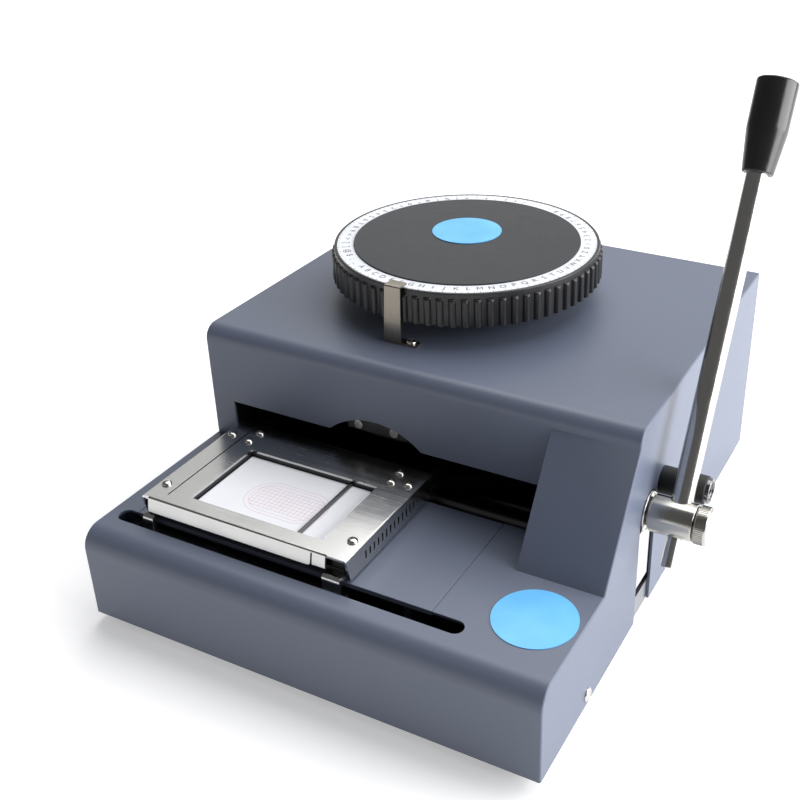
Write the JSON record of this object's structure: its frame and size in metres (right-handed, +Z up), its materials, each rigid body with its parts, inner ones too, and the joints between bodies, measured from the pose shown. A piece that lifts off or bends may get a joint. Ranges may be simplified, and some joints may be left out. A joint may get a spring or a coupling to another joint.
{
  "type": "manual metal tag embosser",
  "caption": "Bench machine that embosses metal tags and cards: sheet cover, character dial, pull lever and a sliding card tray.",
  "frame": {"origin": "on the ground under the middle of the overall width and depth, at the underside of the rubber feet", "axes": "+X to the operator's right, towards the lever; +Y from the operator to the back; +Z up"},
  "size_m": [0.3166, 0.3498, 0.2915],
  "materials": {
    "painted_cover": "fine satin powder coat",
    "plated_steel": "zinc plated sheet and bar",
    "black_rubber": "matt moulded rubber",
    "screw_steel": "nickel plated",
    "black_steel": "black oxide",
    "bronze": "turned bearing bronze",
    "bright_plating": "bright plated",
    "stainless": "brushed stainless sheet",
    "sky_badge": "printed gloss disc",
    "tool_steel": "ground steel",
    "black_plastic": "satin moulded plastic",
    "white_ring": "printed white sheet",
    "cast_alloy": "machined casting"
  },
  "bodies": {
    "frame": {"cover_shell": "painted_cover", "deck_plate": "painted_cover", "base_plate": "plated_steel", "rubber_feet": "black_rubber", "foot_screws": "screw_steel", "cover_screws": "screw_steel", "left_frame_plate": "plated_steel", "inner_frame_plate": "plated_steel", "outer_frame_plate": "plated_steel", "front_beam": "black_steel", "frame_screws": "screw_steel", "bearing_bridge": "plated_steel", "upper_bearing": "bronze", "lower_bearing": "bronze", "shaft_bushes": "bronze", "shaft_boss": "bright_plating", "index_pointer": "stainless", "pointer_screw": "screw_steel", "handle_bumper": "black_rubber", "bumper_screw": "screw_steel", "deck_badge": "sky_badge", "deck_posts": "plated_steel", "guide_rods": "tool_steel", "rod_blocks": "plated_steel", "spring_seat": "plated_steel", "crank_springs": "black_steel", "pawl_posts": "tool_steel"},
    "dial": {"dial_knob": "black_plastic", "dial_ring": "white_ring", "dial_badge": "sky_badge", "dial_spindle": "tool_steel", "upper_type_wheel": "cast_alloy", "lower_type_wheel": "cast_alloy", "type_punches": "tool_steel", "type_dies": "tool_steel", "index_disc": "tool_steel"},
    "punch": {"print_punch": "tool_steel"},
    "die": {"print_die": "tool_steel"},
    "lever": {"main_shaft": "tool_steel", "press_cams": "tool_steel", "shaft_hub": "bright_plating", "lever_rod": "bright_plating", "lever_grip": "black_plastic"},
    "knob": {"clamp_knob": "bright_plating"},
    "upper_press": {"upper_rocker_shaft": "tool_steel", "upper_press_arm": "cast_alloy"},
    "lower_press": {"lower_rocker_shaft": "tool_steel", "lower_press_arm": "cast_alloy"},
    "lock": {"lock_pawl": "cast_alloy"},
    "feed": {"feed_pawl": "cast_alloy"},
    "carriage": {"carriage_bars": "black_steel", "carriage_legs": "stainless", "carriage_blocks": "plated_steel", "feed_rack": "tool_steel"},
    "tray": {"tray_plate": "stainless", "tray_runners": "black_plastic", "card_bed": "black_plastic", "card_template": "white_ring", "clamp_strip": "tool_steel", "tray_screws": "screw_steel"}
  },
  "joints": [
    {"name": "dial_turn", "type": "hinge", "parent": "frame", "child": "dial", "pos_m": [-0.0385, 0.0641, 0.146], "axis": [0, 0, 1], "continuous": true},
    {"name": "lever_pull", "type": "hinge", "parent": "frame", "child": "lever", "pos_m": [0.1403, -0.0349, 0.076], "axis": [1, 0, 0], "range_deg": [0, 75], "deforming": ["crank_springs"]},
    {"name": "knob_turn", "type": "hinge", "parent": "lever", "child": "knob", "pos_m": [0.1545, -0.0349, 0.076], "axis": [1, 0, 0], "range_deg": [-180, 180]},
    {"name": "upper_press_rock", "type": "hinge", "parent": "frame", "child": "upper_press", "pos_m": [-0.0385, -0.0049, 0.104], "axis": [1, 0, 0], "range_deg": [0, 8.6]},
    {"name": "lower_press_rock", "type": "hinge", "parent": "frame", "child": "lower_press", "pos_m": [-0.0385, -0.0049, 0.03], "axis": [1, 0, 0], "range_deg": [-8.6, 0]},
    {"name": "lock_swing", "type": "hinge", "parent": "frame", "child": "lock", "pos_m": [0.0315, 0.0301, 0.098], "axis": [0, 0, 1], "range_deg": [0, 10]},
    {"name": "feed_swing", "type": "hinge", "parent": "frame", "child": "feed", "pos_m": [-0.0155, -0.0509, 0.032], "axis": [0, 1, 0], "range_deg": [-8, 0]},
    {"name": "carriage_slide", "type": "slide", "parent": "frame", "child": "carriage", "axis": [1, 0, 0], "range_m": [-0.006, 0.062]},
    {"name": "tray_slide", "type": "slide", "parent": "carriage", "child": "tray", "axis": [0, 1, 0], "range_m": [0, 0.095]},
    {"name": "punch_slide", "type": "slide", "parent": "dial", "child": "punch", "axis": [0, 0, 1], "range_m": [-0.0064, 0], "stiffness_N_per_m": 200},
    {"name": "die_slide", "type": "slide", "parent": "dial", "child": "die", "axis": [0, 0, 1], "range_m": [0, 0.0115], "stiffness_N_per_m": 200}
  ],
  "couplings": [
    {"joint": "upper_press_rock", "follows": "lever_pull", "ratio": 0.11467},
    {"joint": "lower_press_rock", "follows": "lever_pull", "ratio": -0.11467},
    {"joint": "lock_swing", "follows": "lever_pull", "ratio": 0.13333},
    {"joint": "feed_swing", "follows": "lever_pull", "ratio": -0.10667}
  ]
}
